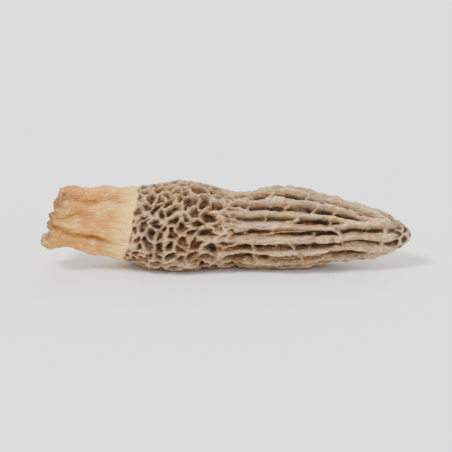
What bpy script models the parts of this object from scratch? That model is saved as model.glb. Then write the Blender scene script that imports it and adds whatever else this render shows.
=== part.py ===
"""A dried black morel, lying on its side with its tip towards +X.

One piece, as it grew: a ribbed and pitted cap that runs into a short shrunken stem, hollow inside and
open at the torn end of the stem. Metres, +Z up. It rests on z = 0, on the ribs that dried flat under it.
"""

import math
import random

import bmesh
import bpy
from mathutils import Vector, noise

MM = 0.001

# The cap, from the stem (station 0) to its tip (station 1)
CAP_LENGTH = 30.0 * MM
CAP_RADIUS = 5.25 * MM  # over the rib crests, at the widest ring
CAP_SWELL = ((0.0, 0.85), (0.1, 0.98), (0.2, 1.01), (0.36, 0.955), (0.56, 1.045), (0.8, 0.93), (1.0, 0.95))
CAP_RINGS = 37
FOOT_SLANT = 1.6 * MM  # the cap reaches this much further down the stem along its underside
DENT_DEPTH = 0.6 * MM  # a shallow dent dried into the cap's top
DENT_STATION = 0.36
DENT_LENGTH = 0.12  # to each side, in stations
SECTION_HEIGHT = 0.94  # the dried section's height over its width
WARP = 0.10  # how far drying pulled the section out of round, as a share of its radius

# The ribs and the pits between them
RIBS = 16
PIT_DEPTH = 1.15 * MM
RIB_SWAY = 0.14 * MM  # to each side, and three times that among the fine pits
FINE_END = 0.36  # nearer the stem than this station the pits are short and crooked
COLUMN_PLACES = (-0.14, 0.14, 0.36, 0.5, 0.64)  # across one rib and the pit after it, in rib spacings
COLUMN_SINKS = (0.0, 0.0, 0.85, 1.0, 0.85)  # how deep each of those lies, in pit depths
BRIDGE_SINK = 0.35  # the same where a low cross ridge closes a pit

# The stem, from its torn end to the cap
STEM_LENGTH = 10.5 * MM  # along its underside
STEM_TOP_RADIUS = 4.36 * MM
STEM_SWELL = ((0.0, 1.0), (0.30, 0.93), (0.72, 0.82), (0.92, 0.86), (1.0, 0.80))  # along it, to its end
STEM_RINGS = 9
STEM_FOLDS = 5
FOLD_DEPTH = 0.22 * MM
TEAR_SLANT = 2.4 * MM  # the stem is this much shorter along its top
TEAR_ROUGHNESS = 0.35 * MM
LIP = 0.22 * MM

# The hollow, from the torn end to where it closes inside the cap
HOLLOW_HALF_WIDTH = 1.95 * MM
HOLLOW_HALF_HEIGHT = 1.6 * MM
HOLLOW_END = 20.0 * MM  # past the foot of the cap
HOLLOW_RINGS = 7

# How it lies
PRESSED = 0.40 * MM  # the depth of the ribs that dried flat underneath
TIP_DROOP = 0.7 * MM
STEM_RISE = 1.6 * MM
BOW = 1.3 * MM  # the sideways curve of its centre line, from the middle to either end

SEED = 11
FLESH_COLOUR = (0.20, 0.135, 0.085, 1.0)
FLESH_ROUGHNESS = 0.85


def eased(low, high, value):
    """0 below low, 1 above high, and a smooth step between them."""
    share = min(1.0, max(0.0, (value - low) / (high - low)))
    return share * share * (3.0 - 2.0 * share)


def through(points, place):
    """The height at this place of a smooth line through the points."""
    for (x0, y0), (x1, y1) in zip(points, points[1:]):
        if place <= x1:
            return y0 + (y1 - y0) * eased(x0, x1, place)
    return points[-1][1]


def crest_radius(station):
    """The cap's radius over its ribs: a blunt cone, with the swells and the waist left by drying."""
    cone = (1.0 - min(station, 1.0) ** 2.8) ** 0.5
    return CAP_RADIUS * cone * through(CAP_SWELL, station)


def centre(x):
    """The centre line, as (y, z), at x from the foot of the cap."""
    middle = (CAP_LENGTH - STEM_LENGTH) / 2
    reach = (CAP_LENGTH + STEM_LENGTH) / 2
    bow = -BOW * ((x - middle) / reach) ** 2
    height = CAP_RADIUS * SECTION_HEIGHT - PRESSED
    height -= TIP_DROOP * eased(0.5 * CAP_LENGTH, CAP_LENGTH, x)
    height += STEM_RISE * eased(0.1 * CAP_LENGTH, -STEM_LENGTH, x)
    return bow, height


def rib_angle(rib, station):
    """Where a rib runs round the cap. It sways more where the pits are fine."""
    sway = RIB_SWAY * (3.0 - 2.0 * eased(0.5 * FINE_END, 1.2 * FINE_END, station))
    sway *= eased(0.0, 0.08, station) * (1.0 - eased(0.8, 1.0, station))
    waves = math.sin(19.0 * station + 2.4 * rib) + 0.6 * math.sin(41.0 * station + 4.1 * rib)
    return math.tau * rib / RIBS + sway * waves / max(crest_radius(station), 1.0 * MM)


def foot(angle):
    """Where the cap ends on the stem at this angle: further down along the underside."""
    return -FOOT_SLANT * (1.0 - math.sin(angle)) / 2


def dent(station, angle):
    """How deep the dent in the cap's top is here."""
    return DENT_DEPTH * math.exp(-(((station - DENT_STATION) / DENT_LENGTH) ** 2)) * max(0.0, math.sin(angle))


def on_skin(x, radius, angle, sink):
    """A point of the outside, where the radius is over the ribs and sink is how far under them it lies."""
    out = Vector((0.0, math.cos(angle), math.sin(angle)))
    radius *= 1.0 + WARP * noise.noise(out * 1.1 + Vector((x / (9.0 * MM), 0.0, 3.7)))
    y, z = centre(x)
    crest_height = z + radius * SECTION_HEIGHT * out.z
    radius -= sink * eased(0.1 * MM, 1.6 * MM, crest_height)
    return Vector((x, y + radius * out.y, max(0.0, z + radius * SECTION_HEIGHT * out.z)))


def column_angles(station):
    """The angle and the sink of every column of points round the cap."""
    columns = []
    for rib in range(RIBS):
        start = rib_angle(rib, station)
        gap = rib_angle(rib + 1, station) - start
        if rib == RIBS - 1:
            gap = rib_angle(0, station) + math.tau - start
        columns += [(start + gap * place, sink) for place, sink in zip(COLUMN_PLACES, COLUMN_SINKS)]
    return columns


def bridged_rings(dice):
    """The rings at which a cross ridge closes one pit: close together near the stem, and further apart on."""
    rings = set()
    ring = dice.randint(1, 2)
    while ring < CAP_RINGS:
        rings.add(ring)
        fine = ring / CAP_RINGS < FINE_END
        ring += dice.randint(2, 3) if fine else dice.randint(4, 7)
    return rings


def cap_rings():
    """The cap's rings of points, from the tip to its foot."""
    dice = random.Random(SEED)
    bridges = [bridged_rings(dice) for _ in range(RIBS)]
    rings = []
    for ring in reversed(range(CAP_RINGS)):
        station = 1.0 - (1.0 - ring / CAP_RINGS) ** 1.12
        radius = crest_radius(station)
        depth = PIT_DEPTH * min(1.0, radius / (0.75 * CAP_RADIUS)) * eased(0.0, 0.05, station)
        points = []
        for column, (angle, sink) in enumerate(column_angles(station)):
            if sink and ring in bridges[column // len(COLUMN_PLACES)]:
                sink = BRIDGE_SINK
            x = foot(angle) + (CAP_LENGTH - foot(angle)) * station
            points.append(on_skin(x, radius - dent(station, angle), angle, sink * depth))
        rings.append(points)
    return rings


def tear(angle):
    """Where the stem ends at this angle: a slanting, ragged tear."""
    out = Vector((math.cos(angle), math.sin(angle), 0.0))
    ragged = TEAR_ROUGHNESS * noise.noise(out * 2.1)
    return -STEM_LENGTH + TEAR_SLANT * (1.0 + out.y) / 2 + ragged


def stem_rings():
    """The stem's rings of points, from the cap's foot to its torn lip."""
    angles = [angle for angle, _ in column_angles(0.0)]
    rings = []
    for ring in range(1, STEM_RINGS + 1):
        share = ring / STEM_RINGS
        radius = STEM_TOP_RADIUS * through(STEM_SWELL, share)
        fold = FOLD_DEPTH * eased(0.0, 0.4, share)
        points = []
        for a in angles:
            x = foot(a) + (tear(a) - foot(a)) * share
            points.append(on_skin(x, radius, a, fold * (1.0 + math.cos(STEM_FOLDS * a + 2.0 * share))))
        rings.append(points)
    return rings


def hollow_rings():
    """The hollow's rings of points, from the torn lip to its blind end."""
    angles = [angle for angle, _ in column_angles(0.0)]
    rings = []
    for ring in range(HOLLOW_RINGS):
        share = ring / HOLLOW_RINGS
        size = (1.0 - share**3) ** 0.5
        points = []
        for a in angles:
            mouth = tear(a) + LIP
            x = mouth + (HOLLOW_END - mouth) * share
            y, z = centre(x)
            wide = HOLLOW_HALF_WIDTH * size * math.cos(a)
            high = HOLLOW_HALF_HEIGHT * size * math.sin(a)
            points.append(Vector((x, y + wide, z + high)))
        rings.append(points)
    return rings


def lip_ring(outside, inside):
    """The lip's own ring, midway between the outside and the hollow and standing a little proud."""
    return [(a + b) / 2 - Vector((LIP + (b.x - a.x) / 2, 0.0, 0.0)) for a, b in zip(outside, inside)]


def skinned(rings, first, last):
    """A closed mesh over the rings, with a point to close each end."""
    mesh = bmesh.new()
    loops = [[mesh.verts.new(point) for point in ring] for ring in rings]
    for ring, following in zip(loops, loops[1:]):
        for i in range(len(ring)):
            mesh.faces.new((ring[i - 1], ring[i], following[i], following[i - 1]))
    for point, ring, turn in ((first, loops[0], 1), (last, loops[-1], -1)):
        pole = mesh.verts.new(point)
        for i in range(len(ring)):
            mesh.faces.new((pole, ring[i], ring[i - 1])[::turn])
    bmesh.ops.triangulate(mesh, faces=mesh.faces)
    bmesh.ops.recalc_face_normals(mesh, faces=mesh.faces)
    return mesh


def centred(mesh):
    """Moves the mesh so that the origin is under the middle of its box."""
    for axis in (0, 1):
        places = [vert.co[axis] for vert in mesh.verts]
        middle = (min(places) + max(places)) / 2
        for vert in mesh.verts:
            vert.co[axis] -= middle


def flesh():
    """The dried flesh: matt, brown, between the pale ribs and the dark pits."""
    material = bpy.data.materials.new("dried_flesh")
    material.use_nodes = True
    shader = material.node_tree.nodes["Principled BSDF"]
    shader.inputs["Base Color"].default_value = FLESH_COLOUR
    shader.inputs["Roughness"].default_value = FLESH_ROUGHNESS
    shader.inputs["Metallic"].default_value = 0.0
    material.diffuse_color = FLESH_COLOUR
    return material


def dried_morel():
    """The whole mushroom, as one closed solid."""
    stem = stem_rings()
    hollow = hollow_rings()
    rings = cap_rings() + stem + [lip_ring(stem[-1], hollow[0])] + hollow
    tip = Vector((CAP_LENGTH, *centre(CAP_LENGTH)))
    hollow_end = Vector((HOLLOW_END, *centre(HOLLOW_END)))
    body = skinned(rings, tip, hollow_end)
    centred(body)
    mesh = bpy.data.meshes.new("dried_morel")
    body.to_mesh(mesh)
    body.free()
    mesh.shade_smooth()
    mesh.set_sharp_from_angle(angle=math.radians(60))
    mesh.materials.append(flesh())
    morel = bpy.data.objects.new("dried_morel", mesh)
    bpy.context.collection.objects.link(morel)


for leftover in list(bpy.data.objects):
    bpy.data.objects.remove(leftover)
dried_morel()
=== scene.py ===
import math
import random

import bpy
import numpy as np
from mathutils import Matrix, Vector, noise


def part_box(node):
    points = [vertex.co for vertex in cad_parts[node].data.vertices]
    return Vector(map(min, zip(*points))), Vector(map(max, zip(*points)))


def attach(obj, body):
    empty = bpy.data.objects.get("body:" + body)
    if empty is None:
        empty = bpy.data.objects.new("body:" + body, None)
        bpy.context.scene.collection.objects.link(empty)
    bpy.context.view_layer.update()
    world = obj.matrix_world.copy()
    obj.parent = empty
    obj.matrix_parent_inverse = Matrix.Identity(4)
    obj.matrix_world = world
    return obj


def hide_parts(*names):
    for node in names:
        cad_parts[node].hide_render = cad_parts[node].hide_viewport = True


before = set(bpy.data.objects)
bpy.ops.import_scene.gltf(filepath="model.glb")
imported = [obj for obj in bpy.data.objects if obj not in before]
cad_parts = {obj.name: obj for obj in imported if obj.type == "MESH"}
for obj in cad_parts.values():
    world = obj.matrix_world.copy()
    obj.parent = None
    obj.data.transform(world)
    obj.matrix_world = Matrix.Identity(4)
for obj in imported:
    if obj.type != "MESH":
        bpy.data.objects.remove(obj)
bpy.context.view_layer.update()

# ---- The form ------------------------------------------------------------------------------------
# A morel is one piece of thin flesh round one hollow: a cap like a blunt cone, grown onto a short
# stem. Drying drew this one in, pulled its section out of round and bowed it. It lies on its side.

MM = 0.001
TURN = math.tau
COLUMNS = 288  # points round the mushroom, in every ring
low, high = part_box("dried_morel")
LENGTH, WIDTH, HEIGHT = high - low
CAP_LENGTH = 0.733 * LENGTH
CAP_RADIUS = 0.4859 * WIDTH  # over the crests of the ribs, at the widest ring
CAP_SWELL = ((0.0, 0.85), (0.1, 0.98), (0.2, 1.01), (0.36, 0.955), (0.56, 1.045), (0.8, 0.93), (1.0, 0.95))
CAP_BLUNTNESS = 2.8
STEM_LENGTH = LENGTH - CAP_LENGTH
MIDDLE = (CAP_LENGTH - STEM_LENGTH) / 2  # of its length, from the cap's foot
DENT_DEPTH = 0.75 * MM  # a shallow dent dried into the cap's top
DENT_STATION = 0.36
DENT_LENGTH = 0.12  # to each side, in stations
SECTION_HEIGHT = 0.94  # the dried section's height over its width
WARP = 0.10  # how far drying pulled the section out of round, as a share of its radius
WARP_LENGTH = 9.0 * MM
WARP_ROUND = 1.1  # the radius, in lumps of noise, of the rod that the warp is read from
PRESSED = 0.40 * MM  # how much of the ribs underneath dried flat
PRESSED_UP_TO = 1.6 * MM  # pits between crests lower than this were made shallower too
PRESSED_PITS = 0.4  # what is left of their depth at the surface
TIP_DROOP = 0.7 * MM
STEM_RISE = 1.6 * MM
BOW = 1.3 * MM  # the sideways curve of its centre line, from the middle to either end
OCTAVE_FADE = 1.0  # each octave of noise is half as strong as the one before
OCTAVE_STEP = 2.0  # and twice as fine
angles = np.arange(COLUMNS) * TURN / COLUMNS


def eased(start, end, value):
    """0 up to the start, 1 from the end on, and a smooth step between them."""
    share = np.clip((value - start) / (end - start), 0.0, 1.0)
    return share * share * (3.0 - 2.0 * share)


def hump(middle, reach, place):
    """1 at the middle, dying away over this reach to either side."""
    return np.exp(-(((place - middle) / reach) ** 2))


def through(points, place):
    """The height at each place of a smooth line through the points."""
    level = np.full(np.shape(place), points[0][1])
    for (x0, y0), (x1, y1) in zip(points, points[1:]):
        level = level + (y1 - y0) * eased(x0, x1, place)
    return level


def crest_radius(station):
    """The cap's radius over its ribs, from its foot at station 0 to its tip at 1."""
    cone = (1.0 - np.clip(station, 0.0, 1.0) ** CAP_BLUNTNESS) ** 0.5
    return CAP_RADIUS * cone * through(CAP_SWELL, station)


def rumpled(points, size, seed, octaves=2, stretch=1.0):
    """Smooth noise at every point, about -1 to 1, in lumps of this size, stretched along the mushroom."""
    shift = Vector((0.0, 0.0, seed))
    flat = (points / np.array((stretch, 1.0, 1.0))).reshape(-1, 3)
    levels = [noise.fractal(Vector(p) / size + shift, OCTAVE_FADE, OCTAVE_STEP, octaves) for p in flat]
    return np.array(levels).reshape(points.shape[:-1])


def round_places(x, angle, radius=1.0):
    """Points on a plain round rod, where noise can be read without a seam."""
    x, angle = np.broadcast_arrays(x, angle)
    return np.stack((x, radius * np.cos(angle), radius * np.sin(angle)), axis=-1)


def skin(x, radius, angle, sink=0.0):
    """Points of the outside, sink deep under a crest radius, at x from the cap's foot.

    Where the crests lie on the surface they were pressed down, so the pits between them are shallow.
    """
    x, angle = np.broadcast_arrays(x, angle)
    warp = rumpled(round_places(x / WARP_LENGTH, angle, WARP_ROUND), 1.0, seed=3.7, octaves=1)
    radius = radius * (1.0 + WARP * warp)
    y = -BOW * ((x - MIDDLE) / (LENGTH / 2)) ** 2
    z = CAP_RADIUS * SECTION_HEIGHT - PRESSED - TIP_DROOP * eased(0.5 * CAP_LENGTH, CAP_LENGTH, x)
    z = z + STEM_RISE * (1.0 - eased(-STEM_LENGTH, 0.1 * CAP_LENGTH, x))
    crest_z = z + SECTION_HEIGHT * radius * np.sin(angle)
    out = radius - sink * (PRESSED_PITS + (1.0 - PRESSED_PITS) * eased(0.0, PRESSED_UP_TO, crest_z))
    return np.stack((x, y + out * np.cos(angle), z + SECTION_HEIGHT * out * np.sin(angle)), axis=-1)


# ---- The cap's ribs and pits ---------------------------------------------------------------------
# The cap's skin grows as a net of ridges round open pits. Near the stem it is a fine crooked
# honeycomb. Long ribs rise out of that, and they join one another on the way to the tip.

# A run is how far a place lies from the cap's foot, over its skin. A way is that as a share of the
# whole path to the tip, and a station is a share of the cap's length.
CAP_ROWS = 262
STATIONS = 4000  # close together, to measure the path over the skin
THINNEST_ROW = 0.05 * MM
THINNEST_LINE = 0.5 * MM
STEM_TOP_RADIUS = 0.83 * CAP_RADIUS
FOOT_SLANT = 1.6 * MM  # the cap reaches this much further down the stem along its underside
FOOT_EDGE = 0.40 * MM  # the cap's edge rises to its full height over this
PIT_DEPTH = 1.25 * MM
LINE_STEP = 0.30 * MM  # between the points of a ridge's line
dice = random.Random(47)

RIBS = 16
RIB_STARTS = (0.16, 0.36)  # where the ribs rise out of the honeycomb
RIB_RISE = 0.04
RIB_WIDENING = 0.15
TIP_PITS = 3.6 * MM  # how far from the tip the ribs give way to small pits again
TIP_FALL = 0.6  # how much lower the ribs are where they end
TIP_WIDENING = 0.20  # how much more of the room they fill near the tip
RIB_HEIGHT = 0.93  # in pit depths
RIB_HEIGHT_CHANGE = 0.09
RIB_HALF_WIDTH = 0.27  # of the room from one rib to the next
RIB_WIDTH_CHANGE = 0.06
PIT_WIDTHS = (0.84, 1.18)  # against one another
JOININGS = 11  # how often two ribs become one before the tip
FIRST_JOINING = 0.78
LAST_JOINING = 0.99
JOINING_SPREAD = 0.02
JOINING_LENGTH = 0.14  # over this a pit narrows to nothing where its ribs join
NEXT_JOINING = 5  # ribs further round the cap
PAST_THE_TIP = 2.0  # where the other pits would close
CREST_HALF_WIDTH = 0.13 * MM
CREST_SIDES = (-0.45, 0.30)  # a rib has two crests, this far from its middle in its half widths
CREST_SWAY = 0.55

CROSS_START = 0.28
CROSS_END = 0.93
CROSS_REACHES = (1.0, 1.0, 1.0, 0.55)  # one in four ends inside the pit
CROSS_GAPS = (1.8 * MM, 5.0 * MM)
CROSS_HEIGHTS = (0.45, 1.0)
CROSS_HALF_WIDTHS = (0.18 * MM, 0.32 * MM)
CROSS_CREST_HALF_WIDTH = 0.11 * MM
CROSS_SLANT = 0.9 * MM
CROSS_SAG = 0.4 * MM
CROSS_DIP = 0.25  # how much lower its middle is, as a share of its height
CROSS_POINTS = 6
NARROWEST_CROSSED = 0.7 * MM  # a narrower pit isn't divided

FLOOR_RIDGE_STARTS = ((0.36, 0.50), (0.62, 0.80))  # up to two in a pit
FLOOR_RIDGE_LENGTHS = (3.0 * MM, 8.0 * MM)
FLOOR_RIDGE_HEIGHTS = (0.45, 0.75)
FLOOR_RIDGE_HALF_WIDTHS = (0.13 * MM, 0.20 * MM)
FLOOR_RIDGE_PLACES = (0.30, 0.70)  # of the room between the ribs
FLOOR_RIDGE_SLANT = 0.25  # to each side of that
FLOOR_CREST_HALF_WIDTH = 0.10 * MM
FLOOR_CREST_HEIGHT = 0.7  # of the ridge's own
FLOOR_RIDGE_CHANCE = 0.7
FLOOR_RIDGE_POINTS = 6  # a shorter one is left out

stations = np.linspace(0.0, 1.0, STATIONS)
slopes = np.hypot(np.diff(stations) * CAP_LENGTH, np.diff(crest_radius(stations)))
CAP_RUN = slopes.sum()  # the way over the skin from the foot to the tip
run_of_station = np.concatenate(((0.0,), np.cumsum(slopes))) / CAP_RUN
row_ways = np.arange(CAP_ROWS)[:, None] / CAP_ROWS
row_stations = np.interp(row_ways, run_of_station, stations)
row_radii = np.maximum(crest_radius(row_stations), THINNEST_ROW)


class Net:
    """How high the ridges stand at every point of the skin: 0 on a pit's floor and 1 on a crest."""

    REACH = 3.0  # half widths, to where a ridge has died away
    STEEPNESS = 1.7
    LOWEST = 0.01
    NEVER_ZERO = 1e-15

    def __init__(self, runs, radii):
        self.runs = runs.ravel()
        self.radii = radii.ravel()
        self.heights = np.zeros((len(self.runs), COLUMNS))

    def ridge(self, angle, run, height, width):
        """Raises a ridge along a line of angles and runs, with a height and a half width at each."""
        for i in range(len(run) - 1):
            self.stretch(angle[i : i + 2], run[i : i + 2], height[i : i + 2], width[i : i + 2])

    def stretch(self, angle, run, height, width):
        """Raises the straight stretch of a ridge between two points of its line."""
        reach = self.REACH * max(width)
        rows = np.flatnonzero((self.runs > min(run) - reach) & (self.runs < max(run) + reach))
        if not len(rows) or max(height) <= self.LOWEST:
            return
        radii = self.radii[rows, None]
        middle = (angle[0] + angle[1]) / 2
        half = min(math.pi, reach / radii.min() + abs(angle[1] - angle[0]))
        columns = np.arange(math.ceil((middle - half) / TURN * COLUMNS), (middle + half) / TURN * COLUMNS)
        columns = columns[:COLUMNS].astype(int)
        across = (columns * TURN / COLUMNS - angle[0])[None] * radii
        up = (self.runs[rows] - run[0])[:, None]
        step_across = (angle[1] - angle[0]) * radii
        step_up = run[1] - run[0]
        share = (across * step_across + up * step_up) / (step_across**2 + step_up**2 + self.NEVER_ZERO)
        share = np.clip(share, 0.0, 1.0)
        apart = (across - share * step_across) ** 2 + (up - share * step_up) ** 2
        wide = width[0] + (width[1] - width[0]) * share
        tall = height[0] + (height[1] - height[0]) * share
        where = np.ix_(rows, columns % COLUMNS)
        raised = tall / (1.0 + (apart / wide**2) ** self.STEEPNESS)
        self.heights[where] = np.maximum(self.heights[where], raised)

    def overlay(self, rows, raised, kept=1.0):
        """Lays other heights over some rows, where this share of what stood there is kept."""
        self.heights[rows] = np.maximum(self.heights[rows] * kept, raised)


def wander(run, size, seed):
    """A smooth change along a line, about -1 to 1, with waves of this length."""
    levels = [noise.noise(Vector((place / size, seed, 0.5))) for place in run]
    return np.array(levels) * 1.7


def radius_at(run):
    """The cap's radius over its ribs at each run, but never too thin to lay a line round."""
    return np.maximum(crest_radius(np.interp(run / CAP_RUN, run_of_station, stations)), THINNEST_LINE)


# Where two ribs have joined, the others spread out to share the room
closings = np.full(RIBS, PAST_THE_TIP)
for joining, way in enumerate(np.linspace(FIRST_JOINING, LAST_JOINING, JOININGS)):
    closings[(NEXT_JOINING * joining + 1) % RIBS] = way + dice.uniform(-JOINING_SPREAD, JOINING_SPREAD)

rib_run = np.arange(0.0, CAP_RUN, LINE_STEP)
rib_way = rib_run / CAP_RUN
pit_widths = []
for end in closings:
    still_open = 1.0 - eased(end - JOINING_LENGTH, end, rib_way)
    pit_widths.append(dice.uniform(*PIT_WIDTHS) * still_open)
edges = np.concatenate((np.zeros((1, len(rib_run))), np.cumsum(pit_widths, axis=0)))
rib_lines = TURN * edges / edges[-1]
rib_lines -= (rib_lines[:-1] - rib_lines[:-1, :1]).mean(axis=0)


def along_rib(rib, run):
    """The rib's angle at each run."""
    return np.interp(run, rib_run, rib_lines[rib])


net = Net(row_ways * CAP_RUN, row_radii)
crests = Net(row_ways * CAP_RUN, row_radii)
end_fall = 1.0 - TIP_FALL * eased(CAP_RUN - TIP_PITS, CAP_RUN - 0.3 * TIP_PITS, rib_run)
room = TURN * radius_at(rib_run) / edges[-1]  # from one rib to the next
room_filled = room * (1.0 + TIP_WIDENING * eased(0.70, 0.92, rib_way))
for rib in range(RIBS):
    start = dice.uniform(*RIB_STARTS)
    tall = RIB_HEIGHT + RIB_HEIGHT_CHANGE * wander(rib_run, 1.8 * MM, 11.0 * rib + 5.0)
    tall = tall * end_fall * eased(start, start + RIB_RISE, rib_way)
    half_width = RIB_HALF_WIDTH + RIB_WIDTH_CHANGE * wander(rib_run, 4.0 * MM, 5.0 * rib)
    half_width = half_width * room_filled * (0.55 + 0.45 * eased(start, start + RIB_WIDENING, rib_way))
    net.ridge(rib_lines[rib], rib_run, tall, half_width)
    for side in CREST_SIDES:
        aside = (side + CREST_SWAY * wander(rib_run, 3.0 * MM, 9.0 * rib + side)) * half_width
        sharp = np.clip(0.55 - 0.5 * side + 0.9 * wander(rib_run, 3.6 * MM, 6.0 * rib + side), 0.0, 1.0)
        line = rib_lines[rib] + aside / radius_at(rib_run)
        crests.ridge(line, rib_run, tall * sharp, np.full(len(rib_run), CREST_HALF_WIDTH))


def ridge_in_pit(pit, share, runs, tall, half_width, crest_tall, crest_half_width):
    """Raises a ridge and its crest in a pit, at this share of the room from one rib to the next."""
    left = along_rib(pit, runs)
    line = left + (along_rib(pit + 1, runs) - left) * share
    net.ridge(line, runs, tall, np.full(len(runs), half_width))
    crests.ridge(line, runs, crest_tall, np.full(len(runs), crest_half_width))


def cross_ridges(pit, end):
    """Divides a pit with ridges from rib to rib, some of them reaching only half way, up to this run."""
    closest, furthest = CROSS_GAPS
    place = CROSS_START * CAP_RUN + dice.uniform(0.1, 1.0) * closest
    while place < end:
        share = np.linspace(0.0, dice.choice(CROSS_REACHES), CROSS_POINTS)
        if dice.random() < 0.5:
            share = 1.0 - share
        arch = 4.0 * share * (1.0 - share)
        slant = dice.uniform(-CROSS_SLANT, CROSS_SLANT)
        sag = dice.uniform(-CROSS_SAG, CROSS_SAG)
        runs = place + slant * (share - 0.5) + sag * arch
        tall = dice.uniform(*CROSS_HEIGHTS) * (1.0 - CROSS_DIP * arch)
        across = (along_rib(pit + 1, runs) - along_rib(pit, runs)) * radius_at(runs)
        if np.abs(across).max() > NARROWEST_CROSSED:
            half_width = dice.uniform(*CROSS_HALF_WIDTHS)
            ridge_in_pit(pit, share, runs, tall, half_width, tall, CROSS_CREST_HALF_WIDTH)
        place += dice.uniform(closest, furthest)


def floor_ridge(pit, start, end):
    """Raises a low, short ridge that crosses the pit's floor on a long slant."""
    runs = np.arange(start, min(start + dice.uniform(*FLOOR_RIDGE_LENGTHS), end), LINE_STEP)
    if len(runs) > FLOOR_RIDGE_POINTS and dice.random() < FLOOR_RIDGE_CHANCE:
        slant = FLOOR_RIDGE_SLANT * np.linspace(-1.0, 1.0, len(runs))
        share = dice.uniform(*FLOOR_RIDGE_PLACES) + slant * dice.choice((-1.0, 1.0))
        tall = dice.uniform(*FLOOR_RIDGE_HEIGHTS) * np.sin(np.linspace(0.4, math.pi, len(runs))) ** 0.3
        half_width = dice.uniform(*FLOOR_RIDGE_HALF_WIDTHS)
        crest_tall = FLOOR_CREST_HEIGHT * tall
        ridge_in_pit(pit, share, runs, tall, half_width, crest_tall, FLOOR_CREST_HALF_WIDTH)


for pit, closing in enumerate(closings):
    pit_end = min(closing - 0.05, CROSS_END) * CAP_RUN
    cross_ridges(pit, pit_end)
    for way in [dice.uniform(*ways) for ways in FLOOR_RIDGE_STARTS]:
        floor_ridge(pit, way * CAP_RUN, pit_end)


def wall_distance(distances):
    """How far each place is from the wall between cells, from its distances to the cells' middles."""
    nearest = np.partition(distances, 1, axis=-1)
    return (nearest[..., 1] - nearest[..., 0]) / 2


def wall(apart, half_width):
    """How high the wall between cells stands, this far from its middle."""
    return 1.0 / (1.0 + (apart / half_width) ** 3)


# The honeycomb near the stem: its walls are wavy, and its cells lengthen towards the ribs
COMB_END = 0.55  # it has faded out before this
CELLS_ROUND = 23
CELL_WIDTH = 1.4 * MM
CELL_LENGTH = 1.1 * MM
CELL_LENGTHENING = 2.2 * MM
CELL_SHIFT_ROUND = 0.40  # how far a cell's middle may lie off its place in the rings, in cells
CELL_SHIFT_UP = 0.42
SMALL_CELL_SQUEEZE = 1.8
COMB_WALL = 0.20 * MM
SMALL_COMB_WALL = 0.13 * MM
SMALL_COMB_HEIGHT = 0.42
COMB_CREST = 0.10 * MM
COMB_WAVES = 0.26
rods = round_places(row_stations * CAP_LENGTH, angles, row_radii)
fine = row_ways[:, 0] < COMB_END
cell_lengths = CELL_LENGTH + CELL_LENGTHENING * eased(0.1, 0.5, row_ways[:, 0])
cell_rows = np.cumsum(CAP_RUN / CAP_ROWS / cell_lengths)[fine]
waves = [COMB_WAVES * rumpled(rods[fine], 1.0 * MM, seed)[..., None] for seed in (91.0, 97.0)]


def comb(cells_round, cell_width, squeeze):
    """How far each place near the stem is from the walls of a honeycomb with this many cells round.

    The squeeze is how many rings of cells it has where the big cells have one.
    """
    middles = []
    for ring in range(-1, int(cell_rows[-1] * squeeze) + 3):
        for cell in range(cells_round):
            place_round = cell + 0.5 * (ring % 2) + dice.uniform(-CELL_SHIFT_ROUND, CELL_SHIFT_ROUND)
            place_up = ring + dice.uniform(-CELL_SHIFT_UP, CELL_SHIFT_UP)
            middles.append((TURN * place_round / cells_round, place_up))
    middles = np.array(middles)
    turned_by = (angles[:, None] - middles[:, 0] + math.pi) % TURN - math.pi
    across = turned_by[None] * row_radii[fine][..., None] / cell_width + waves[0]
    up = (cell_rows * squeeze)[:, None, None] - middles[:, 1] + waves[1]
    return wall_distance(np.hypot(across, up)) * cell_width


comb_walls = comb(CELLS_ROUND, CELL_WIDTH, 1.0)
small_comb_walls = comb(2 * CELLS_ROUND, CELL_WIDTH / 2, SMALL_CELL_SQUEEZE)
patchy = rumpled(rods, 3.0 * MM, seed=5.0, octaves=1)
fine_share = 1.0 - eased(0.33, 0.41, row_ways[fine] + 0.17 * patchy[fine])
wall_heights = 0.90 + 0.18 * rumpled(rods[fine], 1.1 * MM, seed=15.0)
small_walls = SMALL_COMB_HEIGHT * wall(small_comb_walls, SMALL_COMB_WALL)
net.overlay(fine, fine_share * wall_heights * np.maximum(wall(comb_walls, COMB_WALL), small_walls))
crests.overlay(fine, fine_share * wall(comb_walls, COMB_CREST))

# The small pits round the tip, in rings
TIP_RINGS = (2, 5, 9, 14)
TIP_FIRST_RING = 0.25 * MM
TIP_RING_GAP = 1.15 * MM
TIP_SHIFT = 0.3  # how far a pit may lie off its place in its ring, in pits
TIP_WALL = 0.18 * MM
TIP_CREST = 0.10 * MM
TIP_FLOOR = 0.12
TIP_WALL_HEIGHT = 0.82
way_to_tip = CAP_RUN * (1.0 - row_ways)
near_tip = way_to_tip[:, 0] < 1.5 * TIP_PITS
tip_places = way_to_tip[near_tip][..., None] * np.stack((np.cos(angles), np.sin(angles)), axis=-1)
tip_middles = []
for ring, pits in enumerate(TIP_RINGS):
    for pit in range(pits):
        turn = TURN * (pit + dice.uniform(-TIP_SHIFT, TIP_SHIFT)) / pits + ring
        ring_radius = TIP_FIRST_RING + TIP_RING_GAP * ring
        tip_middles.append((ring_radius * math.cos(turn), ring_radius * math.sin(turn)))
tip_walls = wall_distance(np.linalg.norm(tip_places[:, :, None] - np.array(tip_middles), axis=-1))
patchy_way = way_to_tip[near_tip] + 0.6 * MM * patchy[near_tip]
tip_share = 1.0 - eased(0.35 * TIP_PITS, 1.1 * TIP_PITS, patchy_way)
tip_net = TIP_FLOOR + TIP_WALL_HEIGHT * wall(tip_walls, TIP_WALL)
net.overlay(near_tip, tip_share * tip_net, 1.0 - 0.6 * tip_share)
crests.overlay(near_tip, tip_share * wall(tip_walls, TIP_CREST), 1.0 - tip_share)


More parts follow.
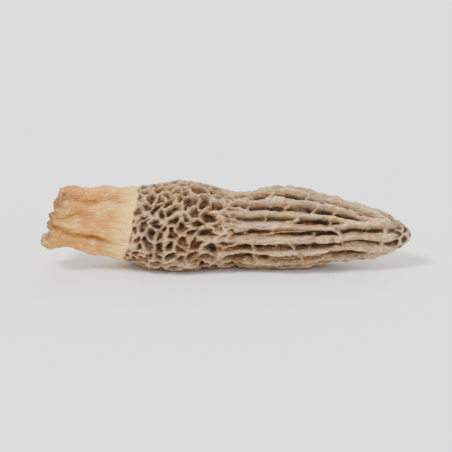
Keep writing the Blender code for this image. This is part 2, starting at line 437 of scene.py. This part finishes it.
def softened(field):
    """Each height averaged a little with those round it."""
    wide = 0.5 * field + 0.25 * (np.roll(field, 1, axis=1) + np.roll(field, -1, axis=1))
    ends = np.concatenate((wide[:1], wide, wide[-1:]))
    return 0.5 * wide + 0.25 * (ends[:-2] + ends[2:])


# Drying crumples the net: its crests chip, sway, slide and lean over
RIB_SWAY = 0.12 * MM
COMB_SWAY = 0.36 * MM  # added to that in the honeycomb
SMALL_SWAY = 0.10 * MM
LEAN = 0.26 * MM
SLIDE = 0.30 * MM  # along the mushroom
SMALL_SLIDE = 0.10 * MM
UNEVENNESS = 0.10
CHIP_DEPTH = 0.16
CHIPPED_CREST = 0.7
uneven = rumpled(rods, 1.5 * MM, seed=13.0)
chips = eased(0.30, 0.50, rumpled(rods, 1.3 * MM, seed=57.0, octaves=3))
ribs = softened(net.heights) * (1.0 + UNEVENNESS * uneven - CHIP_DEPTH * chips)
crest = crests.heights * (1.0 - CHIPPED_CREST * chips)
rib_part = eased(0.18, 0.45, row_ways)
sway = (RIB_SWAY + COMB_SWAY * (1.0 - rib_part)) * rumpled(rods, 2.2 * MM, seed=41.0)
sway = sway + SMALL_SWAY * rumpled(rods, 0.75 * MM, seed=71.0)
lean = LEAN * rumpled(rods, 3.0 * MM, seed=9.0) * ribs**2
slide = SLIDE * rumpled(rods, 2.0 * MM, seed=17.0) + SMALL_SLIDE * rumpled(rods, 0.8 * MM, seed=27.0)
off_foot = eased(0.0, 0.03, row_ways)
turned = angles + off_foot * (sway + lean) / np.maximum(row_radii, 1.4 * MM)
slid = off_foot * (1.0 - eased(0.93, 1.0, row_ways)) * slide

# The cap's foot is a wavy slanting line. Its pits are shallower at both ends and in the honeycomb.
FOOT_RIPPLE = 0.26 * MM
FOOT_WAVE = 0.25 * MM
foot_rod = round_places(0.0, angles, CAP_RADIUS)
foot = -FOOT_SLANT * (1.0 - np.sin(angles)) / 2
foot = foot + FOOT_RIPPLE * rumpled(foot_rod, 1.3 * MM, seed=21.0)
foot = foot + FOOT_WAVE * rumpled(foot_rod, 4.0 * MM, seed=3.0)
cap_x = foot + (CAP_LENGTH - foot) * row_stations + slid
edge = eased(-0.3 * FOOT_EDGE, FOOT_EDGE, row_ways * CAP_RUN)
cap_radii = STEM_TOP_RADIUS + (row_radii - STEM_TOP_RADIUS) * edge
dent = DENT_DEPTH * hump(DENT_STATION, DENT_LENGTH, row_stations) * np.maximum(0.0, np.sin(angles))
pit_depths = PIT_DEPTH * np.minimum(1.0, cap_radii / (0.72 * CAP_RADIUS))
pit_depths = pit_depths * (0.25 + 0.75 * eased(0.0, 0.07, row_ways)) * (0.80 + 0.20 * rib_part)

# Over it all lie the finer marks of drying
CRINKLES = 0.13 * MM
PLEATS = 0.11 * MM
FLOOR_LUMPS = 0.22 * MM
CREST_KNOBS = 0.09 * MM
CREST_LINES = 0.14 * MM
relief = CRINKLES * rumpled(rods, 0.50 * MM, seed=1.0) * (0.4 + 0.6 * ribs)
relief = relief + PLEATS * rumpled(rods, 0.50 * MM, seed=31.0, stretch=3.4)
relief = relief + FLOOR_LUMPS * uneven * (1.0 - ribs)
relief = relief + CREST_KNOBS * rumpled(rods, 0.95 * MM, seed=83.0) * ribs
relief = relief + CREST_LINES * crest
relief = relief * edge * np.minimum(1.0, cap_radii / (0.4 * CAP_RADIUS))
cap = skin(cap_x, cap_radii - dent, turned, pit_depths * (1.0 - ribs) - relief)

# ---- The stem ------------------------------------------------------------------------------------
# The stem is paler and smooth, mealy to the touch. It shrank into lengthwise folds, and it was torn
# off short, on a slant, so its lip is ragged and curls in.

STEM_ROWS = 44
STEM_SWELL = ((0.0, 1.0), (0.30, 0.93), (0.72, 0.82), (0.92, 0.86), (1.0, 0.80))
TEAR_SLANT = 2.4 * MM
TEAR_START = 0.985 * STEM_LENGTH
TEAR_WAVES = 0.45 * MM
TEAR_FRINGE = 0.22 * MM
SPLITS = ((5.3, 0.16, 1.1 * MM), (1.9, 0.12, 0.66 * MM))  # the angle, half width and depth of each
LIP_CURL = 0.30 * MM
FOLDS = 7
FOLD_POINTS = 30
FOLD_STARTS = (0.05, 0.30)
FOLD_END = 1.1  # past the lip, so that the lip is folded too
FOLD_DEPTHS = (0.55, 1.0)
FOLD_HALF_WIDTHS = (0.30 * MM, 0.55 * MM)
FOLD_FADE = 3.5 * MM
FOLD_SHIFT = 0.3  # how far a fold may lie off its place, in the room from one to the next
FOLD_SWAY = 0.22
FOLD_SINK = 0.85 * MM
STEM_LUMPS = 0.22 * MM
STEM_PLEATS = 0.15 * MM
FINE_PLEATS = 0.10 * MM
STEM_GRAINS = 0.05 * MM
stem_shares = np.arange(1, STEM_ROWS + 1)[:, None] / STEM_ROWS
lip_noise = rumpled(round_places(0.0, angles, 2.6), 1.0, seed=5.0, octaves=3)
fringe = rumpled(round_places(0.0, angles, CAP_RADIUS), 0.55 * MM, seed=65.0)
torn = TEAR_SLANT * (1.0 + np.sin(angles)) / 2 - TEAR_START + TEAR_WAVES * lip_noise + TEAR_FRINGE * fringe
for split_angle, split_width, split_depth in SPLITS:
    torn = torn + split_depth * hump(split_angle, split_width, angles)
stem_x = foot + (torn - foot) * stem_shares
stem_rods = round_places(stem_x, angles, CAP_RADIUS)
stem_radii = STEM_TOP_RADIUS * through(STEM_SWELL, stem_shares)
folds = Net(stem_shares * STEM_LENGTH, stem_radii)
for fold in range(FOLDS):
    fold_run = np.linspace(dice.uniform(*FOLD_STARTS), FOLD_END, FOLD_POINTS) * STEM_LENGTH
    line = TURN * (fold + dice.uniform(-FOLD_SHIFT, FOLD_SHIFT)) / FOLDS
    line = line + FOLD_SWAY * wander(fold_run, 4.0 * MM, 13.0 * fold)
    fade = eased(fold_run[0] - 0.1 * MM, fold_run[0] + FOLD_FADE, fold_run)
    deep = dice.uniform(*FOLD_DEPTHS) * fade
    folds.ridge(line, fold_run, deep, np.full(FOLD_POINTS, dice.uniform(*FOLD_HALF_WIDTHS)))
creases = softened(folds.heights)
stem_sink = FOLD_SINK * creases
stem_sink = stem_sink + STEM_LUMPS * rumpled(stem_rods, 2.2 * MM, seed=43.0)
stem_sink = stem_sink + STEM_PLEATS * rumpled(stem_rods, 0.75 * MM, seed=31.0, octaves=3, stretch=3.0)
stem_sink = stem_sink + FINE_PLEATS * rumpled(stem_rods, 0.36 * MM, seed=37.0, stretch=4.0)
stem_sink = stem_sink + STEM_GRAINS * rumpled(stem_rods, 0.5 * MM, seed=47.0)
curl = eased(0.78, 1.0, stem_shares) * rumpled(round_places(0.0, angles, 1.6), 1.0, seed=51.0)
stem_sink = eased(0.0, 0.08, stem_shares) * stem_sink - LIP_CURL * curl
stem = skin(stem_x, stem_radii, angles, stem_sink)

# ---- The hollow ----------------------------------------------------------------------------------
# One hollow runs from the torn lip through the stem and into the cap. Its wall is mealy and pleated,
# and it closes before the tip.

HOLLOW_ROWS = 28
LIP_ROWS = 3
HOLLOW_END = 20.0 * MM
HOLLOW_HALF_WIDTH = 1.95 * MM
HOLLOW_FLATNESS = 0.84
HOLLOW_WRINKLES = 0.14 * MM
HOLLOW_WRINKLE_LENGTH = 4.0 * MM
HOLLOW_CROWDING = 1.3  # its rings stand closer together near the lip
LIP_THICKNESS = 0.70 * MM
LIP_THICKNESS_CHANGE = 0.3
LIP_BULGE = 0.16 * MM
LIP_DEPTH = 0.25 * MM  # how far inside the tear the lip's inner edge lies
hollow_shares = (np.arange(HOLLOW_ROWS)[:, None] / HOLLOW_ROWS) ** HOLLOW_CROWDING
mouth = torn + LIP_DEPTH
hollow_x = mouth + (HOLLOW_END - mouth) * hollow_shares
wrinkles = rumpled(round_places(hollow_x / HOLLOW_WRINKLE_LENGTH, angles, 2.5), 1.0, seed=61.0, octaves=3)
hollow_radii = (HOLLOW_HALF_WIDTH + HOLLOW_WRINKLES * wrinkles) * np.sqrt(1.0 - hollow_shares**3)
hollow_radii = hollow_radii * np.sqrt(np.cos(angles) ** 2 + (HOLLOW_FLATNESS * np.sin(angles)) ** 2)
at_lip = stem_radii[-1] - stem_sink[-1] - LIP_THICKNESS * (1.0 + LIP_THICKNESS_CHANGE * lip_noise)
near_lip = 1.0 - eased(0.0, 0.16, hollow_shares)
hollow = skin(hollow_x, hollow_radii + (at_lip - hollow_radii) * near_lip, angles)
round_lip = math.pi * np.arange(1, LIP_ROWS + 1)[:, None] / (LIP_ROWS + 1)
lip = stem[-1] + (hollow[0] - stem[-1]) * (1.0 - np.cos(round_lip[..., None])) / 2
lip[..., 0] -= LIP_BULGE * np.sin(round_lip) * (1.0 + 0.9 * fringe)

# ---- One skin over all ---------------------------------------------------------------------------
# Cap, stem, lip and hollow are one closed piece of flesh, so they are one mesh: rings of points from
# the tip back to the torn end and in again, with a map on it that follows the rings.

CLEARANCE = 0.02 * MM  # over the surface it lies on
TIP_POINT = 0.05 * MM
MAP_MARGIN = 0.02
HOLLOW_ON_MAP = 0.25  # the hollow gets this share of its room on the map
rings = np.concatenate((cap[::-1], stem, lip, hollow))
rings[..., 2] = np.maximum(rings[..., 2], CLEARANCE)
tip = rings[0].mean(axis=0) + np.array((TIP_POINT, 0.0, 0.0))
hollow_tip = rings[-1].mean(axis=0)
points = np.concatenate((rings.reshape(-1, 3), (tip, hollow_tip)))
shift = np.array(((low.x + high.x) / 2, (low.y + high.y) / 2, 0.0))
shift[:2] -= (points.min(axis=0)[:2] + points.max(axis=0)[:2]) / 2
points += shift

rows = len(rings)
index = np.arange(rows * COLUMNS).reshape(rows, COLUMNS)
after = np.roll(index, -1, axis=1)
quads = np.stack((index[:-1], index[1:], after[1:], after[:-1]), axis=-1).reshape(-1, 4)
tip_fan = np.stack((np.full(COLUMNS, rows * COLUMNS), index[0], after[0]), axis=-1)
end_fan = np.stack((np.full(COLUMNS, rows * COLUMNS + 1), after[-1], index[-1]), axis=-1)
mesh = bpy.data.meshes.new("morel")
mesh.from_pydata(points.tolist(), [], quads.tolist() + tip_fan.tolist() + end_fan.tolist())
mesh.shade_smooth()

ring_gaps = np.linalg.norm(np.diff(rings, axis=0), axis=-1).mean(axis=1)
ring_gaps[CAP_ROWS + STEM_ROWS + LIP_ROWS - 1 :] *= HOLLOW_ON_MAP
map_ways = np.concatenate(((0.0,), np.cumsum(ring_gaps) / ring_gaps.sum()))
map_heights = MAP_MARGIN + (1.0 - 2 * MAP_MARGIN) * map_ways
left_sides = np.arange(COLUMNS) / COLUMNS
right_sides = (np.arange(COLUMNS) + 1) / COLUMNS
mid_sides = (left_sides + right_sides) / 2
lefts = np.tile(left_sides, rows - 1)
rights = np.tile(right_sides, rows - 1)
tops = np.repeat(map_heights[:-1], COLUMNS)
bottoms = np.repeat(map_heights[1:], COLUMNS)
quad_map = np.stack((lefts, tops, lefts, bottoms, rights, bottoms, rights, tops), axis=-1)


def fan_map(point_height, ring_height, first_sides, second_sides):
    """The places on the map of a fan's triangles, from its point to its ring."""
    point_heights = np.full(COLUMNS, point_height)
    ring_heights = np.full(COLUMNS, ring_height)
    columns = (mid_sides, point_heights, first_sides, ring_heights, second_sides, ring_heights)
    return np.stack(columns, axis=-1)


tip_map = fan_map(0.0, map_heights[0], left_sides, right_sides)
end_map = fan_map(1.0, map_heights[-1], right_sides, left_sides)
places_on_map = np.concatenate((quad_map.ravel(), tip_map.ravel(), end_map.ravel()))
mesh.uv_layers.new(name="OFBake").data.foreach_set("uv", places_on_map)


def mark(name, on_cap, on_stem, on_lip, in_hollow):
    """Stores how far something is true at every point, for the colours to follow."""
    parts = ((on_cap, CAP_ROWS), (on_stem, STEM_ROWS), (on_lip, LIP_ROWS), (in_hollow, HOLLOW_ROWS))
    values = np.concatenate([np.broadcast_to(part, (count, COLUMNS)).ravel() for part, count in parts])
    values = np.concatenate((values, (values[0], values[-1])))
    mesh.attributes.new(name, "FLOAT", "POINT").data.foreach_set("value", values.astype(np.float32))


# In the hollow the rib mark is 0.5 and the torn mark 0.4, so its wall is painted browner: painted shade
# inside the hollow.
mark("rib", ribs[::-1], 1.0 - 0.8 * creases, 1.0, 0.5)
mark("crest", crest[::-1], 0.0, 0.0, 0.0)
mark("on_cap", 1.0, 0.0, 0.0, 0.0)
mark("torn", 0.0, eased(0.86, 1.0, stem_shares), 1.0, 0.4)
mark("along", row_ways[::-1], -stem_shares, -1.0, -1.0)

morel = bpy.data.objects.new("morel", mesh)
bpy.context.collection.objects.link(morel)
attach(morel, "root")
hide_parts("dried_morel")

# ---- The flesh -----------------------------------------------------------------------------------
# Dried flesh is matt and grainy. The ribs dried pale grey tan, with a painted highlight on their crests,
# and the pits dark brown, rusty in places and painted near black as shade in the pits; the stem is
# golden, with painted shade in its folds and inside the hollow, and browner along its torn lip.

CAP_STOPS_WITH_PIT_SHADE = (
    (0.05, (0.026, 0.017, 0.011)),
    (0.22, (0.060, 0.036, 0.021)),
    (0.36, (0.140, 0.089, 0.051)),
    (0.50, (0.330, 0.222, 0.126)),
    (0.95, (0.560, 0.398, 0.236)),
)
CREST_PALE_AND_HIGHLIGHT = (0.80, 0.61, 0.38, 1.0)
COMB_SHADE = (0.83, 0.77, 0.75, 1.0)
TIP_BROWN = (0.50, 0.34, 0.24, 1.0)
GREY_SHADE = (0.72, 0.72, 0.73, 1.0)
WARM_SHADE = (1.0, 0.88, 0.68, 1.0)
PINK_SHADE = (0.98, 0.85, 0.86, 1.0)
PAINTED_WRINKLE_SHADE = (0.52, 0.45, 0.38, 1.0)
SPECK_SHADE = (0.42, 0.35, 0.29, 1.0)
PIT_RUST = (0.13, 0.050, 0.016, 1.0)
FIBRE_DARK = (0.600, 0.290, 0.060, 1.0)
FIBRE_PALE = (0.860, 0.510, 0.150, 1.0)
STEM_STAIN = (0.56, 0.20, 0.035, 1.0)
STEM_TOP_PALE = (0.98, 0.68, 0.19, 1.0)
CRUMB_SHADE = (0.66, 0.50, 0.36, 1.0)
FOLD_SHADE_BROWN = (0.26, 0.11, 0.035, 1.0)
LIP_BROWN = (0.24, 0.11, 0.04, 1.0)
BUMP_HEIGHT = 0.28 * MM
GLOSS = 0.35


class Wire:
    """A value in a material: arithmetic on it adds Math nodes, and node() adds any other."""

    def __init__(self, tree, socket=None):
        self.tree = tree
        self.socket = socket

    def node(self, kind, settings=None, inputs=None, output=0):
        """Adds a node, with its settings first, then the values or links of its sockets."""
        made = self.tree.nodes.new("ShaderNode" + kind)
        for name, value in (settings or {}).items():
            if name == "stops":
                self.set_stops(made.color_ramp, value)
            else:
                setattr(made, name, value)
        for name, value in (inputs or {}).items():
            if isinstance(value, Wire):
                self.tree.links.new(value.socket, made.inputs[name])
            else:
                made.inputs[name].default_value = value
        return Wire(self.tree, made.outputs[output])

    def set_stops(self, ramp, stops):
        """Gives a ramp its places and colours. It starts with two."""
        for place, _ in stops[2:]:
            ramp.elements.new(place)
        for element, (place, colour) in zip(ramp.elements, stops):
            element.position = place
            element.color = (*colour, 1.0)

    def feed(self, shader, name):
        """Links this value to one of the shader's sockets."""
        self.tree.links.new(self.socket, shader.inputs[name])

    def math(self, operation, first, second):
        return self.node("Math", {"operation": operation}, {0: first, 1: second})

    def __add__(self, other):
        return self.math("ADD", self, other)

    def __sub__(self, other):
        return self.math("SUBTRACT", self, other)

    def __rsub__(self, other):
        return self.math("SUBTRACT", other, self)

    def __mul__(self, other):
        return self.math("MULTIPLY", self, other)

    __radd__ = __add__
    __rmul__ = __mul__


flesh = bpy.data.materials.new("dried_flesh")
flesh.use_nodes = True
flesh_shader = flesh.node_tree.nodes["Principled BSDF"]
nodes = Wire(flesh.node_tree)
in_metres = nodes.node("TexCoord", output="Object")
in_mm = nodes.node("VectorMath", {"operation": "SCALE"}, {0: in_metres, "Scale": 1.0 / MM})
drawn_out = nodes.node("Mapping", {"vector_type": "POINT"}, {"Vector": in_mm, "Scale": (0.28, 1.0, 1.0)})


def attribute(name):
    """What mark() stored under this name."""
    return nodes.node("Attribute", {"attribute_name": name}, output="Fac")


def cloud(size, detail=3.0, where=in_mm):
    """Noise in lumps of this many millimetres, from about 0 to 1."""
    inputs = {"Vector": where, "Scale": 1.0 / size, "Detail": detail, "Roughness": 0.55}
    return nodes.node("TexNoise", {}, inputs)


def swing(lumps, amount):
    """Noise brought to both sides of zero, with this much between its ends."""
    return (lumps - 0.5) * amount


def step(value, start, end):
    """0 up to the start, 1 from the end on, and a smooth step between them."""
    inputs = {"Value": value, "From Min": start, "From Max": end}
    return value.node("MapRange", {"interpolation_type": "SMOOTHSTEP"}, inputs)


def painted(mask, under, over, blend="MIX"):
    """A colour with another laid over it where the mask is 1."""
    settings = {"data_type": "RGBA", "blend_type": blend}
    return mask.node("Mix", settings, {0: mask, 6: under, 7: over}, output=2)


def shaded(mask, under, shade):
    """A colour multiplied by a shade where the mask is 1."""
    return painted(mask, under, shade, "MULTIPLY")


rib = attribute("rib")
on_cap = attribute("on_cap")
along = attribute("along")
grain = cloud(0.16, 4.0)
mottle = cloud(1.1)
drift = cloud(5.0, 2.0)
fine_wrinkles = cloud(0.24, 4.0, drawn_out)

# The ramp colours the cap by rib height, from pale crests to near-black pits: partly the flesh's own
# colour, partly painted shade in the pits.
rib_level = rib + swing(grain, 0.30) + swing(mottle, 0.20)
cap_colour = nodes.node("ValToRGB", {"stops": CAP_STOPS_WITH_PIT_SHADE}, {"Fac": rib_level})
# Pale tan along the ribs' crests: partly their own paler dried edges, partly a painted highlight on the
# crests.
cap_colour = painted(step(attribute("crest"), 0.15, 0.9) * 0.6, cap_colour, CREST_PALE_AND_HIGHLIGHT)
cap_colour = shaded(1.0 - step(along + swing(mottle, 0.2), 0.25, 0.50), cap_colour, COMB_SHADE)
cap_colour = painted(step(along, 0.90, 0.97) * step(rib, 0.35, 0.80) * 0.4, cap_colour, TIP_BROWN)
cap_colour = shaded(step(drift, 0.42, 0.62) * 0.6, cap_colour, GREY_SHADE)
cap_colour = shaded(step(cloud(3.6, 2.0), 0.45, 0.65) * 0.7, cap_colour, WARM_SHADE)
cap_colour = shaded(step(cloud(2.2, 2.0, drawn_out), 0.48, 0.60) * 0.6, cap_colour, PINK_SHADE)
# Darker where the fine wrinkles are low, the same noise that raises the bump: painted shade in the
# wrinkles' creases.
cap_colour = shaded((1.0 - step(fine_wrinkles, 0.36, 0.56)) * 0.8, cap_colour, PAINTED_WRINKLE_SHADE)
cap_colour = shaded(step(cloud(0.33), 0.60, 0.68) * 0.6, cap_colour, SPECK_SHADE)
rusty = step(cloud(2.6, 2.0), 0.54, 0.66) * (1.0 - step(rib, 0.25, 0.7)) * 0.8
cap_colour = painted(rusty, cap_colour, PIT_RUST)

stem_colour = painted(step(cloud(0.36, 4.0, drawn_out), 0.35, 0.68), FIBRE_DARK, FIBRE_PALE)
stem_colour = painted(step(drift + swing(mottle, 0.5), 0.44, 0.60) * 0.7, stem_colour, STEM_STAIN)
stem_colour = painted(step(along, -0.34, -0.02) * 0.8, stem_colour, STEM_TOP_PALE)
stem_colour = shaded(step(cloud(0.28, 2.0), 0.54, 0.66) * 0.45, stem_colour, CRUMB_SHADE)
# Browner where the stem folds in and, at less strength, inside the hollow: painted shade in the folds and
# the hollow.
stem_colour = painted((1.0 - rib) * 0.7, stem_colour, FOLD_SHADE_BROWN)
stem_colour = painted(attribute("torn") * step(mottle, 0.30, 0.60), stem_colour, LIP_BROWN)
painted(on_cap, stem_colour, cap_colour).feed(flesh_shader, "Base Color")

roughness = 0.90 - step(rib, 0.6, 1.0) * 0.12 - (1.0 - on_cap) * 0.08 + swing(grain, 0.15)
roughness.feed(flesh_shader, "Roughness")
flesh_shader.inputs["Specular IOR Level"].default_value = GLOSS
stem_meal = (1.0 - on_cap) * cloud(0.22, 2.0)
bumps = grain * 0.4 + cloud(0.45, 4.0) * 0.5 + fine_wrinkles * 0.9 + stem_meal * 0.9
bump = nodes.node("Bump", {}, {"Strength": 1.0, "Distance": BUMP_HEIGHT, "Height": bumps})
bump.feed(flesh_shader, "Normal")
mesh.materials.append(flesh)

# ---- The stage -----------------------------------------------------------------------------------
# A pale matt table in a pale room, under one broad light from the left, a weak one from the right and
# one from behind. The camera looks a little down on the side of the mushroom.

TABLE_HALF_SIDE = 6.0
TABLE_NEAR = (0.90, 0.90, 0.895, 1.0)
TABLE_FAR = (0.44, 0.44, 0.44, 1.0)
NEAR_UP_TO = 0.10
FAR_FROM = 1.5
TABLE_ROUGHNESS = 0.9
ROOM_LIGHT = 1.1
CAMERA_RISE = math.radians(18.0)
CAMERA_DISTANCE = 0.60
CAMERA_TARGET = Vector((0.0, 0.0, 0.46 * HEIGHT))
VIEW_WIDTH = 1.22 * LENGTH

corners = [(x * TABLE_HALF_SIDE, y * TABLE_HALF_SIDE, 0) for x, y in ((-1, -1), (1, -1), (1, 1), (-1, 1))]
table_mesh = bpy.data.meshes.new("floor")
table_mesh.from_pydata(corners, [], [(0, 1, 2, 3)])
table = bpy.data.objects.new("floor", table_mesh)
bpy.context.collection.objects.link(table)
paint = bpy.data.materials.new("pale_table")
paint.use_nodes = True
paint_shader = paint.node_tree.nodes["Principled BSDF"]
on_table = Wire(paint.node_tree).node("TexCoord", output="Object")
from_middle = on_table.node("VectorMath", {"operation": "LENGTH"}, {0: on_table}, "Value")
# The table is painted darker away from the middle: a painted falloff of light, so its far part meets the
# room's light at the horizon.
painted(step(from_middle, NEAR_UP_TO, FAR_FROM), TABLE_NEAR, TABLE_FAR).feed(paint_shader, "Base Color")
paint_shader.inputs["Roughness"].default_value = TABLE_ROUGHNESS
table_mesh.materials.append(paint)


def soft_light(name, direction, spread, strength):
    """A broad light from far away, from this direction and over this many degrees."""
    lamp = bpy.data.lights.new(name, "SUN")
    lamp.angle = math.radians(spread)
    lamp.energy = strength
    light = bpy.data.objects.new(name, lamp)
    light.rotation_euler = Vector(direction).to_track_quat("Z", "Y").to_euler()
    bpy.context.collection.objects.link(light)


soft_light("key_light", (-0.50, -0.45, 0.80), 16.0, 4.2)
soft_light("fill_light", (0.75, -0.40, 0.45), 60.0, 0.7)
soft_light("back_light", (0.25, 0.80, 0.60), 40.0, 1.3)
room_light = bpy.data.worlds.new("pale_room")
room_light.use_nodes = True
background = room_light.node_tree.nodes["Background"]
background.inputs["Color"].default_value = (1.0, 1.0, 1.0, 1.0)
background.inputs["Strength"].default_value = ROOM_LIGHT
bpy.context.scene.world = room_light

lens = bpy.data.cameras.new("camera")
lens.angle = 2 * math.atan(VIEW_WIDTH / 2 / CAMERA_DISTANCE)
lens.clip_start = 0.01
camera = bpy.data.objects.new("camera", lens)
backwards = Vector((0.0, -math.cos(CAMERA_RISE), math.sin(CAMERA_RISE)))
camera.location = CAMERA_TARGET + backwards * CAMERA_DISTANCE
camera.rotation_euler = (-backwards).to_track_quat("-Z", "Y").to_euler()
bpy.context.collection.objects.link(camera)
bpy.context.scene.camera = camera
